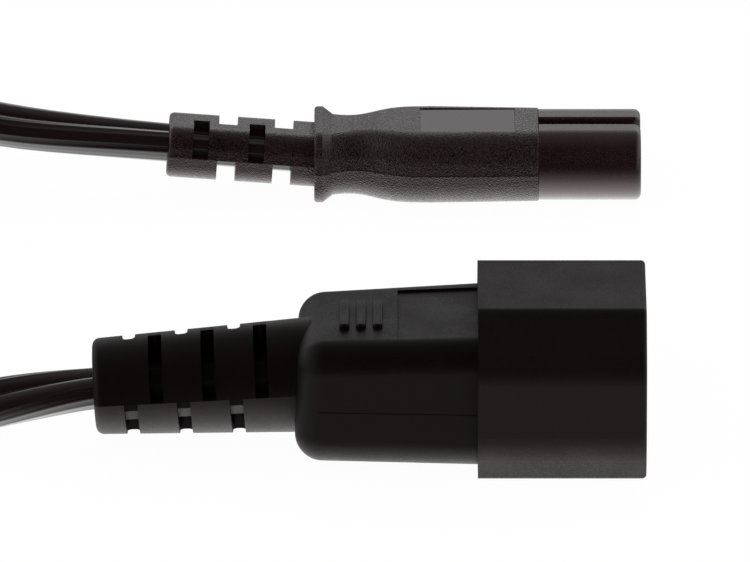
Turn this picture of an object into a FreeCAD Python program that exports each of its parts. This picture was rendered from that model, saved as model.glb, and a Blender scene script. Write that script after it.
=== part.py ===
import FreeCAD
import Part
import Sketcher
import math
import os

Vec = FreeCAD.Vector

# Frame: +X along the connector towards its nose, +Y away from the plug, +Z up, floor at z = 0.
# The origin is the bottom centre of the connector's own box; the plug lies beside it at plug_y.

DIMENSIONS = {
    # Connector nose, a figure eight with a groove above and below
    "axis_height": 4.4,
    "nose_front": 28.5,
    "nose_length": 12.25,
    "lobe_diameter": 8.6,
    "lobe_spacing": 6.8,
    "groove_half": 1.0,
    "groove_centre": 2.8,
    "groove_lip": 0.4,
    "nose_edge": 0.8,
    "boss_length": 10.0,
    "boss_width": 12.4,
    "boss_height": 5.8,
    "boss_corner": 2.7,
    "socket_pitch": 8.6,
    "entry_radius": 1.45,
    "entry_depth": 2.0,
    # Spring sockets and their crimps
    "contact_outer": 1.7,
    "contact_bore": 1.2,
    "contact_length": 12.0,
    "contact_neck": 1.0,
    "contact_slit": 0.4,
    "crimp_radius": 1.2,
    "crimp_length": 8.0,
    "strand_radius": 0.6,
    "strand_length": 8.0,
    "core_radius": 1.2,
    "core_lead": 3.0,
    "core_end": 3.2,
    # Connector grip: lean of its sides from the parting line, front edge and label panel
    "side_slope": 0.14,
    "grip_edge": 0.2,
    "label_length": 11.4,
    "label_width": 8.4,
    "label_front": 13.4,
    "label_floor": 4.28,
    # Connector flange and strain relief
    "flange_back": -10.7,
    "flange_thick": 1.0,
    "flange_taper": 1.1,
    "flange_width": 15.0,
    "flange_height": 8.8,
    "flange_corner": 2.9,
    "flange_front_width": 13.0,
    "flange_front_height": 7.7,
    "flange_edge": 0.4,
    "relief_length": 17.65,
    "relief_root": 1.0,
    "relief_width": 9.6,
    "relief_height": 6.3,
    "relief_corner": 2.4,
    "relief_edge": 0.6,
    "relief_lift": 4.2,
    "window_slot": 1.9,
    "window_start": 6.1,
    "through_slot": 2.25,
    "through_start": 2.7,
    "slot_pitch": 6.7,
    "slot_cross": 0.35,
    "slot_part": 0.5,
    "slot_reach": 12.0,
    # Flat twin cord
    "cord_width": 6.4,
    "cord_thick": 3.7,
    "web_thick": 3.0,
    "sheath_inside": 4.5,
    "stub_inset": 0.1,
    # Coil of the put-away length and its tie
    "coil_x": -104.0,
    "coil_y": -44.0,
    "coil_radius": 38.0,
    "coil_clear": 0.3,
    "coil_bottom": 0.6,
    "coil_top": 17.4,
    "tie_width": 5.0,
    "tie_thick": 0.6,
    # Plug hood and pins
    "plug_y": -88.0,
    "hood_front": 28.0,
    "hood_length": 19.5,
    "hood_width": 28.0,
    "hood_height": 19.8,
    "hood_cut": 5.5,
    "hood_foot_rise": 4.3,
    "hood_foot_lean": 2.5,
    "hood_foot": 0.6,
    "hood_corner": 6.0,
    "hood_crown": 1.2,
    "hood_shoulder": 4.5,
    "hood_edge": 0.5,
    "cavity_width": 24.4,
    "cavity_height": 16.9,
    "cavity_cut": 4.8,
    "cavity_corner": 4.2,
    "cavity_depth": 16.5,
    "carrier_length": 5.0,
    "carrier_width": 20.0,
    "carrier_height": 10.0,
    "carrier_mid": 9.4,
    "carrier_corner": 2.0,
    "pin_pitch": 14.0,
    "pin_offset": 2.0,
    "pin_thick": 2.0,
    "pin_height": 4.0,
    "pin_recess": 2.5,
    "pin_bevel": 0.6,
    "pin_tail": 1.0,
    "barrel_radius": 1.4,
    "barrel_length": 3.0,
    "plug_strand_length": 3.0,
    "plug_core_lead": 2.2,
    "plug_core_end": 2.4,
    # Plug grip and strain relief
    "plug_mid": 8.8,
    "plug_back_drop": 0.35,
    "plug_back": -12.5,
    "plug_back_lean": 2.5,
    "plug_front_width": 24.3,
    "plug_front_height": 15.5,
    "plug_back_width": 22.2,
    "plug_back_height": 14.5,
    "plug_side_edge": 3.4,
    "plug_back_edge": 3.2,
    "plug_label_length": 9.3,
    "plug_label_width": 16.0,
    "plug_label_depth": 0.28,
    "plug_label_run": 1.0,
    "rib_width": 1.15,
    "rib_length": 8.6,
    "rib_corner": 0.5,
    "rib_pitch": 1.93,
    "rib_first": -3.1,
    "rib_shift": -0.5,
    "rib_low": 6.6,
    "rib_rise": 1.2,
    "rib_edge": 0.3,
    "plug_relief_mid": 8.6,
    "plug_relief_length": 23.5,
    "plug_relief_root": 2.0,
    "plug_relief_width": 14.4,
    "plug_relief_height": 13.3,
    "plug_relief_end_width": 14.0,
    "plug_relief_end_height": 10.9,
    "plug_relief_edge": 0.9,
    "plug_relief_sag": 3.4,
    "pocket_slot": 1.55,
    "pocket_pitch": 6.12,
    "pocket_upper": 3.15,
    "pocket_lower": 6.2,
    "pocket_cross": 1.9,
    "pocket_part": 1.5,
    "pocket_side": 4.7,
    "pocket_step": 3.6,
    "pocket_low": 1.6,
    "pocket_top": 3.0,
    "plug_sheath_inside": 1.8,
}

# Connector grip sections from the nose back to the flange: x, width, height, corner radius.
# The first two bound the straight part, and the curved waist runs from the second to the last.
GRIP_SECTIONS = [
    (16.25, 15.6, 8.7, 3.9),
    (3.2, 16.1, 8.8, 3.6),
    (1.0, 15.9, 8.8, 3.6),
    (-1.0, 15.0, 8.8, 3.5),
    (-2.9, 13.3, 8.65, 3.4),
    (-4.8, 11.7, 8.2, 3.2),
    (-6.8, 11.6, 7.8, 3.05),
    (-9.1, 13.0, 7.8, 3.05),
]
for number, section in enumerate(GRIP_SECTIONS):
    for word, value in zip(("place", "width", "height", "corner"), section):
        DIMENSIONS["grip_%s_no%d" % (word, number)] = value

# Hand-placed route points of the cord outside its ends, mm
CONNECTOR_ROUTE = [
    (-56.0, -1.0, 9.0),
    (-69.0, -3.2, 12.4),
    (-81.0, -5.2, 13.9),
]
PLUG_ROUTE = [
    (-60.6, -87.2, 3.6),
    (-71.0, -85.2, 2.55),
    (-81.0, -83.2, 2.5),
]
CONNECTOR_FIRST_BEND = 29.6
PLUG_FIRST_BEND = 31.8
STUB_LENGTH = 14.0
TRIM = 0.5
COIL_RIM = 1.2

doc = FreeCAD.newDocument("figure_eight_lead")
sheet = doc.addObject("Spreadsheet::Sheet", "dims")
for row, (alias, number) in enumerate(DIMENSIONS.items(), start=1):
    sheet.set("A%d" % row, alias)
    sheet.set("B%d" % row, str(number))
    sheet.setAlias("B%d" % row, alias)
doc.recompute()


def size(expression):
    """Value of an expression over the sheet's cells."""
    return float(sheet.evalExpression(named(expression)))


def named(expression):
    """The expression with each cell name written as dims.name."""
    words = []
    word = ""
    for letter in str(expression) + " ":
        if letter.isalnum() or letter in "_.":
            word += letter
            continue
        words.append("dims." + word if word in DIMENSIONS else word)
        words.append(letter)
        word = ""
    return "".join(words).strip()


def bind(item, path, expression):
    """Bind one property of a document object to the sheet."""
    item.setExpression(path, named(expression))


# Sketch helpers

def new_body(name):
    return doc.addObject("PartDesign::Body", name)


def new_sketch(body, role, along, across="0", up="0"):
    """A sketch on one of the body's origin planes, moved along its normal and in its plane."""
    sketch = body.newObject("Sketcher::SketchObject", body.Name + "_sketch")
    support = [item for item in body.Origin.OriginFeatures if item.Role == role][0]
    sketch.AttachmentSupport = [(support, "")]
    sketch.MapMode = "FlatFace"
    bind(sketch, "AttachmentOffset.Base.x", across)
    bind(sketch, "AttachmentOffset.Base.y", up)
    bind(sketch, "AttachmentOffset.Base.z", along)
    return sketch


def dimension(sketch, kind, where, expression):
    """Add one dimension to a sketch and bind it to the sheet."""
    index = sketch.addConstraint(Sketcher.Constraint(kind, *where, size(expression)))
    bind(sketch, "Constraints[%d]" % index, expression)


def polygon(sketch, corners):
    """A closed outline of straight edges; each corner is a pair of expressions."""
    first = sketch.GeometryCount
    count = len(corners)
    points = [Vec(size(across), size(up), 0) for across, up in corners]
    for index in range(count):
        sketch.addGeometry(Part.LineSegment(points[index], points[(index + 1) % count]), False)
    for index in range(count):
        after = (index + 1) % count
        sketch.addConstraint(Sketcher.Constraint("Coincident", first + index, 2, first + after, 1))
    for index, (across, up) in enumerate(corners):
        for kind, axis, expression in (("DistanceX", -2, across), ("DistanceY", -1, up)):
            if expression == "0":
                sketch.addConstraint(Sketcher.Constraint("PointOnObject", first + index, 1, axis))
            else:
                dimension(sketch, kind, (-1, 1, first + index, 1), expression)


def rectangle(sketch, left, right, low, high):
    polygon(sketch, [(left, low), (right, low), (right, high), (left, high)])


def rounded(sketch, width, height, corner):
    """A rectangle with four round corners, centred on the sketch's origin."""
    radius = size(corner)
    half = size(width) / 2 - radius
    rise = size(height) / 2 - radius
    spots = [(half, rise), (-half, rise), (-half, -rise), (half, -rise)]
    for index, (across, up) in enumerate(spots):
        start = index * math.pi / 2
        circle = Part.Circle(Vec(across, up, 0), Vec(0, 0, 1), radius)
        arc = Part.ArcOfCircle(circle, start, start + math.pi / 2)
        sketch.addGeometry(arc, False)
        after_across, after_up = spots[(index + 1) % 4]
        side = Vec(math.cos(start + math.pi / 2), math.sin(start + math.pi / 2), 0) * radius
        begin = Vec(across, up, 0) + side
        end = Vec(after_across, after_up, 0) + side
        sketch.addGeometry(Part.LineSegment(begin, end), False)
    for index in range(4):
        arc = 2 * index
        line = arc + 1
        sketch.addConstraint(Sketcher.Constraint("Tangent", arc, 2, line, 1))
        sketch.addConstraint(Sketcher.Constraint("Tangent", line, 2, (arc + 2) % 8, 1))
        level = "Horizontal" if index % 2 == 0 else "Vertical"
        sketch.addConstraint(Sketcher.Constraint(level, line))
    for arc in (2, 4, 6):
        sketch.addConstraint(Sketcher.Constraint("Equal", 0, arc))
    sketch.addConstraint(Sketcher.Constraint("Symmetric", 0, 3, 4, 3, -1, 1))
    dimension(sketch, "Radius", (0,), corner)
    dimension(sketch, "DistanceX", (2, 3, 0, 3), "(%s) - 2 * (%s)" % (width, corner))
    dimension(sketch, "DistanceY", (6, 3, 0, 3), "(%s) - 2 * (%s)" % (height, corner))


def drafted(sketch, width, height, corner):
    """A rounded rectangle whose sides lean in, above and below, from the parting line at mid-height."""
    reach = "(%s) / 2 - side_slope * ((%s) / 2 - (%s)) - (%s) * sqrt(1 + side_slope ^ 2)" % (
        width, height, corner, corner)
    radius = size(corner)
    half = size(reach)
    rise = size(height) / 2 - radius
    lean = math.atan(size("side_slope"))
    edge = size(width) / 2
    touch = half + radius * math.cos(lean)
    level = rise + radius * math.sin(lean)
    quarter = math.pi / 2

    def arc(across, up, start, end):
        circle = Part.Circle(Vec(across, up, 0), Vec(0, 0, 1), radius)
        return Part.ArcOfCircle(circle, start, end)

    def line(across, up, next_across, next_up):
        return Part.LineSegment(Vec(across, up, 0), Vec(next_across, next_up, 0))

    sketch.addGeometry([
        arc(half, rise, lean, quarter),
        line(half, rise + radius, -half, rise + radius),
        arc(-half, rise, quarter, 2 * quarter - lean),
        line(-touch, level, -edge, 0),
        line(-edge, 0, -touch, -level),
        arc(-half, -rise, 2 * quarter + lean, 3 * quarter),
        line(-half, -rise - radius, half, -rise - radius),
        arc(half, -rise, 3 * quarter, 4 * quarter - lean),
        line(touch, -level, edge, 0),
        line(edge, 0, touch, level),
    ], False)
    for before in (0, 1, 2, 4, 5, 6, 7, 9):
        sketch.addConstraint(Sketcher.Constraint("Tangent", before, 2, (before + 1) % 10, 1))
    for before in (3, 8):
        sketch.addConstraint(Sketcher.Constraint("Coincident", before, 2, before + 1, 1))
    for other in (2, 5, 7):
        sketch.addConstraint(Sketcher.Constraint("Equal", 0, other))
    for first, second in ((0, 5), (2, 7)):
        sketch.addConstraint(Sketcher.Constraint("Symmetric", first, 3, second, 3, -1, 1))
    sketch.addConstraint(Sketcher.Constraint("Symmetric", 3, 2, 8, 2, -1, 1))
    sketch.addConstraint(Sketcher.Constraint("PointOnObject", 8, 2, -1))
    sketch.addConstraint(Sketcher.Constraint("Horizontal", 1))
    dimension(sketch, "Radius", (0,), corner)
    dimension(sketch, "DistanceX", (-1, 1, 0, 3), reach)
    dimension(sketch, "DistanceX", (2, 3, -1, 1), reach)
    dimension(sketch, "DistanceY", (7, 3, 0, 3), "(%s) - 2 * (%s)" % (height, corner))
    dimension(sketch, "DistanceX", (3, 2, 8, 2), width)


def lens(sketch, width, height):
    """An upper and a lower arc that meet at the parting line on each side."""
    half = size(width) / 2
    rise = size(height) / 2
    bend = "((%s) ^ 2 + (%s) ^ 2) / (4 * (%s))" % (width, height, height)
    radius = size(bend)
    lean = math.atan2(radius - rise, half)
    for drop, start in ((rise - radius, 0), (radius - rise, math.pi)):
        circle = Part.Circle(Vec(0, drop, 0), Vec(0, 0, 1), radius)
        sketch.addGeometry(Part.ArcOfCircle(circle, start + lean, start + math.pi - lean), False)
    sketch.addConstraint(Sketcher.Constraint("Coincident", 0, 2, 1, 1))
    sketch.addConstraint(Sketcher.Constraint("Coincident", 1, 2, 0, 1))
    sketch.addConstraint(Sketcher.Constraint("Symmetric", 0, 1, 0, 2, -1, 1))
    sketch.addConstraint(Sketcher.Constraint("PointOnObject", 0, 1, -1))
    sketch.addConstraint(Sketcher.Constraint("Equal", 0, 1))
    dimension(sketch, "Radius", (0,), bend)
    dimension(sketch, "DistanceX", (0, 2, 0, 1), width)


def disc(sketch, across, up, radius):
    """A circle at a place in the sketch."""
    middle = Vec(size(across), size(up), 0)
    index = sketch.addGeometry(Part.Circle(middle, Vec(0, 0, 1), size(radius)), False)
    dimension(sketch, "Radius", (index,), radius)
    for kind, axis, expression in (("DistanceX", -2, across), ("DistanceY", -1, up)):
        if expression == "0":
            sketch.addConstraint(Sketcher.Constraint("PointOnObject", index, 3, axis))
        else:
            dimension(sketch, kind, (-1, 1, index, 3), expression)


def figure_eight(sketch):
    """Two round ends with flats between them, parted by a round groove above and one below."""
    lobe = size("lobe_diameter") / 2
    centre = size("lobe_spacing") / 2
    half = size("groove_half")
    deep = size("groove_centre")
    quarter = math.pi / 2
    up = Vec(0, 0, 1)

    def arc(across, rise, radius, start):
        return Part.ArcOfCircle(Part.Circle(Vec(across, rise, 0), up, radius), start, start + 2 * quarter)

    def line(across, rise, next_across, next_rise):
        return Part.LineSegment(Vec(across, rise, 0), Vec(next_across, next_rise, 0))

    sketch.addGeometry([
        arc(centre, 0, lobe, -quarter),
        line(centre, lobe, half, lobe),
        line(half, lobe, half, deep),
        arc(0, deep, half, 2 * quarter),
        line(-half, deep, -half, lobe),
        line(-half, lobe, -centre, lobe),
        arc(-centre, 0, lobe, quarter),
        line(-centre, -lobe, -half, -lobe),
        line(-half, -lobe, -half, -deep),
        arc(0, -deep, half, 0),
        line(half, -deep, half, -lobe),
        line(half, -lobe, centre, -lobe),
    ], False)
    corners = [(1, 2, 2, 1), (4, 2, 5, 1), (7, 2, 8, 1), (10, 2, 11, 1)]
    smooth = [(0, 2, 1, 1), (2, 2, 3, 2), (3, 1, 4, 1), (5, 2, 6, 1),
              (6, 2, 7, 1), (8, 2, 9, 2), (9, 1, 10, 1), (11, 2, 0, 1)]
    for corner in corners:
        sketch.addConstraint(Sketcher.Constraint("Coincident", *corner))
    for joint in smooth:
        sketch.addConstraint(Sketcher.Constraint("Tangent", *joint))
    for flat in (1, 5, 7, 11):
        sketch.addConstraint(Sketcher.Constraint("Horizontal", flat))
    for wall in (2, 4, 8, 10):
        sketch.addConstraint(Sketcher.Constraint("Vertical", wall))
    for lobe_arc in (0, 6):
        sketch.addConstraint(Sketcher.Constraint("PointOnObject", lobe_arc, 3, -1))
        dimension(sketch, "Radius", (lobe_arc,), "lobe_diameter / 2")
    for groove_arc in (3, 9):
        sketch.addConstraint(Sketcher.Constraint("PointOnObject", groove_arc, 3, -2))
        dimension(sketch, "Radius", (groove_arc,), "groove_half")
    dimension(sketch, "DistanceX", (-1, 1, 0, 3), "lobe_spacing / 2")
    dimension(sketch, "DistanceX", (6, 3, -1, 1), "lobe_spacing / 2")
    dimension(sketch, "DistanceY", (-1, 1, 3, 3), "groove_centre")
    dimension(sketch, "DistanceY", (9, 3, -1, 1), "groove_centre")


# Feature helpers

def pad(body, sketch, length, backward=False):
    feature = body.newObject("PartDesign::Pad", body.Name + "_pad")
    feature.Profile = sketch
    feature.Reversed = backward
    bind(feature, "Length", length)
    doc.recompute()
    return feature


def pocket(body, sketch, length, forward=False):
    """Cut along the sketch's normal backwards, or forwards where asked; it must take volume away."""
    before = body.Shape.Volume
    feature = body.newObject("PartDesign::Pocket", body.Name + "_pocket")
    feature.Profile = sketch
    feature.Reversed = forward
    bind(feature, "Length", length)
    doc.recompute()
    if body.Shape.Volume > before - 0.01:
        raise RuntimeError(body.Name + ": a pocket takes nothing away")
    return feature


def loft(body, sketches):
    feature = body.newObject("PartDesign::AdditiveLoft", body.Name + "_loft")
    feature.Profile = sketches[0]
    feature.Sections = sketches[1:]
    doc.recompute()
    return feature


def edge_names(shape, wanted):
    """Names of the edges whose middle point and direction satisfy the test."""
    names = []
    for index, edge in enumerate(shape.Edges, start=1):
        middle = edge.valueAt((edge.FirstParameter + edge.LastParameter) / 2)
        if wanted(edge, middle):
            names.append("Edge%d" % index)
    return names


def soften(body, kind, wanted, amount):
    """A fillet or chamfer on the chosen edges of the body so far."""
    tip = body.Tip
    names = edge_names(tip.Shape, wanted)
    feature = body.newObject("PartDesign::" + kind, body.Name + "_" + kind.lower())
    feature.Base = (tip, names)
    bind(feature, "Radius" if kind == "Fillet" else "Size", amount)
    doc.recompute()
    return feature


def flat_at(place, axis="x"):
    """Test for edges that lie wholly in one plane across the axis."""
    def wanted(edge, middle):
        ends = [getattr(vertex.Point, axis) for vertex in edge.Vertexes] + [getattr(middle, axis)]
        return max(abs(value - place) for value in ends) < 0.01
    return wanted


def behind(place):
    """Test for edges that lie wholly behind a place along X."""
    def wanted(edge, middle):
        ends = [vertex.Point.x for vertex in edge.Vertexes] + [middle.x]
        return max(ends) < place
    return wanted


def lengthwise(edge, least):
    """Whether an edge runs along X for at least a length."""
    box = edge.BoundBox
    return box.XLength > least and box.YLength < 2.0 and box.ZLength < 2.0


def join(name, parts):
    item = doc.addObject("Part::MultiFuse", name)
    item.Shapes = parts
    doc.recompute()
    return item


def cut(name, base, tool):
    item = doc.addObject("Part::Cut", name)
    item.Base = base
    item.Tool = tool
    doc.recompute()
    return item


def rod(name, radius, length, place):
    """A round bar along +X; place is three expressions for its rear end."""
    item = doc.addObject("Part::Cylinder", name)
    item.Placement = FreeCAD.Placement(Vec(), FreeCAD.Rotation(Vec(0, 1, 0), 90))
    bind(item, "Radius", radius)
    bind(item, "Height", length)
    for axis, expression in zip("xyz", place):
        bind(item, "Placement.Base." + axis, expression)
    return item


def block(name, length, width, height, place):
    """A box; place is three expressions for its least corner."""
    item = doc.addObject("Part::Box", name)
    bind(item, "Length", length)
    bind(item, "Width", width)
    bind(item, "Height", height)
    for axis, expression in zip("xyz", place):
        bind(item, "Placement.Base." + axis, expression)
    return item


# Route helpers

def route_wire(points):
    """Straight runs with one tangent arc at each inner point, as large as the runs allow."""
    corners = [Vec(*point) for point in points]
    edges = []
    start = corners[0]
    for before, corner, after in zip(corners, corners[1:], corners[2:]):
        back = (before - corner)
        ahead = (after - corner)
        shorter = min(back.Length, ahead.Length)
        half_turn = (math.pi - back.getAngle(ahead)) / 2
        reach = 0.45 * shorter
        enter = corner + back.normalize() * reach
        leave = corner + ahead.normalize() * reach
        radius = reach / math.tan(half_turn)
        inward = (back + ahead).normalize()
        middle = corner + inward * (math.hypot(radius, reach) - radius)
        edges.append(Part.LineSegment(start, enter).toShape())
        edges.append(Part.Arc(enter, middle, leave).toShape())
        start = leave
        print("arc radius %.1f mm, turn %.1f degrees" % (radius, math.degrees(2 * half_turn)))
    edges.append(Part.LineSegment(start, corners[-1]).toShape())
    return Part.Wire(edges)


def twin_outline(at, direction):
    """Outline of the flat twin cord across its route: two round lobes and a thinner web."""
    lobe = size("cord_thick") / 2
    centre = size("cord_width") / 2 - lobe
    web = size("web_thick") / 2
    inset = centre - math.sqrt(lobe ** 2 - web ** 2)
    ahead = Vec(direction).normalize()
    side = Vec(0, 0, 1).cross(ahead).normalize()
    up = ahead.cross(side)

    def spot(across, rise):
        return at + side * across + up * rise

    edges = [
        Part.Arc(spot(inset, web), spot(centre + lobe, 0), spot(inset, -web)).toShape(),
        Part.LineSegment(spot(inset, -web), spot(-inset, -web)).toShape(),
        Part.Arc(spot(-inset, -web), spot(-centre - lobe, 0), spot(-inset, web)).toShape(),
        Part.LineSegment(spot(-inset, web), spot(inset, web)).toShape(),
    ]
    return Part.Wire(edges)


def core_outline(at, direction):
    return Part.Wire([Part.Circle(at, direction, size("core_radius")).toShape()])


def stub_outline(at, direction):
    """A level rectangle just inside the flat twin cord's outline."""
    ahead = Vec(direction).normalize()
    side = Vec(0, 0, 1).cross(ahead).normalize()
    up = ahead.cross(side)
    side = side * (size("cord_width") / 2)
    up = up * size("cord_thick / 2 - stub_inset")
    corners = [at + side + up, at - side + up, at - side - up, at + side - up]
    return Part.makePolygon(corners + corners[:1])


def sweep(name, points, outline, level):
    """A solid swept along a route; level keeps the outline's wide side level."""
    wire = route_wire(points)
    profile = outline(Vec(*points[0]), Vec(*points[1]) - Vec(*points[0]))
    pipe = Part.BRepOffsetAPI.MakePipeShell(wire)
    if level:
        pipe.setBiNormalMode(Vec(0, 0, 1))
    pipe.add(profile)
    pipe.build()
    pipe.makeSolid()
    item = doc.addObject("Part::Feature", name)
    item.Shape = pipe.shape()
    area = Part.Face(profile).Area
    share = item.Shape.Volume / (area * wire.Length)
    print("%s: length %.1f mm, volume over section times length %.4f" % (name, wire.Length, share))
    return item


# Connector nose insert

def build_nose():
    body = new_body("nose")
    root = "nose_front - nose_length"
    outline = new_sketch(body, "YZ_Plane", root, up="axis_height")
    figure_eight(outline)
    pad(body, outline, "nose_length")
    half = size("groove_half")
    lobe = size("lobe_diameter") / 2
    height = size("axis_height")
    soften(body, "Fillet", lambda edge, at: lengthwise(edge, 5) and abs(abs(at.y) - half) < 0.01
           and abs(abs(at.z - height) - lobe) < 0.01, "groove_lip")
    soften(body, "Fillet", flat_at(size("nose_front")), "nose_edge")
    boss = new_sketch(body, "YZ_Plane", root, up="axis_height")
    rounded(boss, "boss_width", "boss_height", "boss_corner")
    pad(body, boss, "boss_length", backward=True)
    depth_steps = [
        ("entry_radius", "nose_front", "entry_depth"),
        ("contact_outer", "nose_front - entry_depth", "contact_length + contact_neck"),
        ("crimp_radius", "nose_front - entry_depth - contact_length - contact_neck", "boss_length"),
    ]
    for radius, front, depth in depth_steps:
        bores = new_sketch(body, "YZ_Plane", front, up="axis_height")
        disc(bores, "socket_pitch / 2", "0", radius)
        disc(bores, "-socket_pitch / 2", "0", radius)
        pocket(body, bores, depth)
    body.Label = "connector_nose"
    return body


# Spring socket, its strands and core

def build_contact(side, label):
    across = "%d * socket_pitch / 2" % side
    mouth = "nose_front - entry_depth"
    neck = mouth + " - contact_length - contact_neck"
    body = new_body("contact")
    barrel = new_sketch(body, "YZ_Plane", mouth, across, "axis_height")
    disc(barrel, "0", "0", "contact_outer")
    pad(body, barrel, "contact_length + contact_neck", backward=True)
    crimp = new_sketch(body, "YZ_Plane", neck, across, "axis_height")
    disc(crimp, "0", "0", "crimp_radius")
    pad(body, crimp, "crimp_length", backward=True)
    bore = new_sketch(body, "YZ_Plane", mouth, across, "axis_height")
    disc(bore, "0", "0", "contact_bore")
    pocket(body, bore, "contact_length")
    slit = new_sketch(body, "YZ_Plane", mouth, across, "axis_height")
    rectangle(slit, "-contact_slit / 2", "contact_slit / 2", "contact_bore / 2", "contact_outer + 1")
    pocket(body, slit, "contact_length - 1")
    wire_hole = new_sketch(body, "YZ_Plane", neck + " - crimp_length", across, "axis_height")
    disc(wire_hole, "0", "0", "strand_radius")
    pocket(body, wire_hole, "strand_length - 1", forward=True)
    body.Label = label
    return body


def build_socket_fill(side):
    """A bar that fills a socket behind the nose, so that no moulding is left inside it."""
    rear = "nose_front - entry_depth - contact_length"
    across = "%d * socket_pitch / 2" % side
    return rod("socket_fill", "contact_outer", "contact_length", (rear, across, "axis_height"))


def connector_tail_x():
    """Where the strands end and the insulated core begins."""
    return "nose_front - entry_depth - contact_length - contact_neck - crimp_length - 1"


def build_connector_wires(side, tag):
    across = "%d * socket_pitch / 2" % side
    tail = connector_tail_x()
    strands = rod("strands", "strand_radius", "strand_length", (tail, across, "axis_height"))
    strands.Label = "connector_strands_" + tag
    at = side * size("socket_pitch") / 2
    lobe = side * (size("cord_width") - size("cord_thick")) / 2
    height = size("axis_height")
    back = size(tail)
    end = relief_point(-size("sheath_inside"))
    turn = relief_point(-size("sheath_inside + core_end"))
    points = [
        (back, at, height),
        (back - size("core_lead"), at, height),
        (turn.x, lobe, turn.z),
        (end.x, lobe, end.z),
    ]
    core = sweep("core", points, core_outline, False)
    core.Label = "connector_core_" + tag
    return [strands, core]


def relief_point(distance):
    """Point on the connector's strain relief axis, so far behind the flange."""
    lift = math.radians(size("relief_lift"))
    base = Vec(size("flange_back"), 0, size("axis_height"))
    return base + Vec(-math.cos(lift), 0, math.sin(lift)) * distance


def plug_relief_point(distance):
    """Point on the plug's strain relief axis, so far behind the grip."""
    sag = math.radians(size("plug_relief_sag"))
    base = Vec(size("plug_back"), size("plug_y"), size("plug_relief_mid"))
    return base + Vec(-math.cos(sag), 0, -math.sin(sag)) * distance


# Connector overmould

def build_connector_relief():
    """The strain relief, its slots on alternate sides, made level behind its root and then tilted."""
    body = new_body("relief")
    outline = new_sketch(body, "YZ_Plane", "relief_root")
    drafted(outline, "relief_width", "relief_height", "relief_corner")
    pad(body, outline, "relief_length + relief_root", backward=True)
    soften(body, "Fillet", flat_at(-size("relief_length")), "relief_edge")
    for index in range(2):
        step = " + %d * slot_pitch" % index
        windows = new_sketch(body, "YZ_Plane", "-(window_start%s)" % step)
        rectangle(windows, "-slot_reach", "slot_cross", "0", "slot_reach")
        rectangle(windows, "slot_part", "slot_reach", "-slot_reach", "0")
        pocket(body, windows, "window_slot")
        slots = new_sketch(body, "YZ_Plane", "-(through_start%s)" % step)
        polygon(slots, [
            ("-slot_cross", "slot_reach"),
            ("-slot_cross", "0"),
            ("-slot_reach", "0"),
            ("-slot_reach", "-slot_reach"),
            ("slot_reach", "-slot_reach"),
            ("slot_reach", "slot_reach"),
        ])
        pocket(body, slots, "through_slot")
    body.Placement = FreeCAD.Placement(Vec(), FreeCAD.Rotation(Vec(0, 1, 0), 1))
    bind(body, "Placement.Base.x", "flange_back")
    bind(body, "Placement.Base.z", "axis_height")
    bind(body, "Placement.Rotation.Angle", "relief_lift")
    doc.recompute()
    return body


def build_connector_grip():
    body = new_body("grip")
    sections = []
    for number in range(len(GRIP_SECTIONS)):
        section = new_sketch(body, "YZ_Plane", "grip_place_no%d" % number, up="axis_height")
        names = ["grip_%s_no%d" % (word, number) for word in ("width", "height", "corner")]
        drafted(section, *names)
        sections.append(section)
    loft(body, sections[:2])
    soften(body, "Fillet", flat_at(size("grip_place_no0")), "grip_edge")
    loft(body, sections[1:])
    flange = new_sketch(body, "YZ_Plane", "flange_back", up="axis_height")
    drafted(flange, "flange_width", "flange_height", "flange_corner")
    pad(body, flange, "flange_thick")
    steps = [("flange_back + flange_thick", "flange_width", "flange_height"),
             ("flange_back + flange_thick + flange_taper", "flange_front_width", "flange_front_height")]
    taper = []
    for place, width, height in steps:
        section = new_sketch(body, "YZ_Plane", place, up="axis_height")
        drafted(section, width, height, "flange_corner")
        taper.append(section)
    loft(body, taper)
    soften(body, "Fillet", flat_at(size("flange_back")), "flange_edge")
    label = new_sketch(body, "XY_Plane", "2 * axis_height")
    rectangle(label, "label_front - label_length", "label_front", "-label_width / 2", "label_width / 2")
    pocket(body, label, "axis_height - label_floor")
    return body


# Plug hood, pins and wires

def hood_outline(sketch, width, height, corner, foot):
    """Outline with its two upper corners cut at 45 degrees, standing on the given foot."""
    polygon(sketch, foot + [
        ("%s / 2" % width, "%s / 2 - %s" % (height, corner)),
        ("%s / 2 - %s" % (width, corner), "%s / 2" % height),
        ("%s - %s / 2" % (corner, width), "%s / 2" % height),
        ("-%s / 2" % width, "%s / 2 - %s" % (height, corner)),
    ])


PIN_PLACES = [("pin_line", "pin_pitch / 2", "-pin_offset"), ("pin_neutral", "-pin_pitch / 2", "-pin_offset"),
              ("pin_earth", "0", "pin_offset")]


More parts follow.
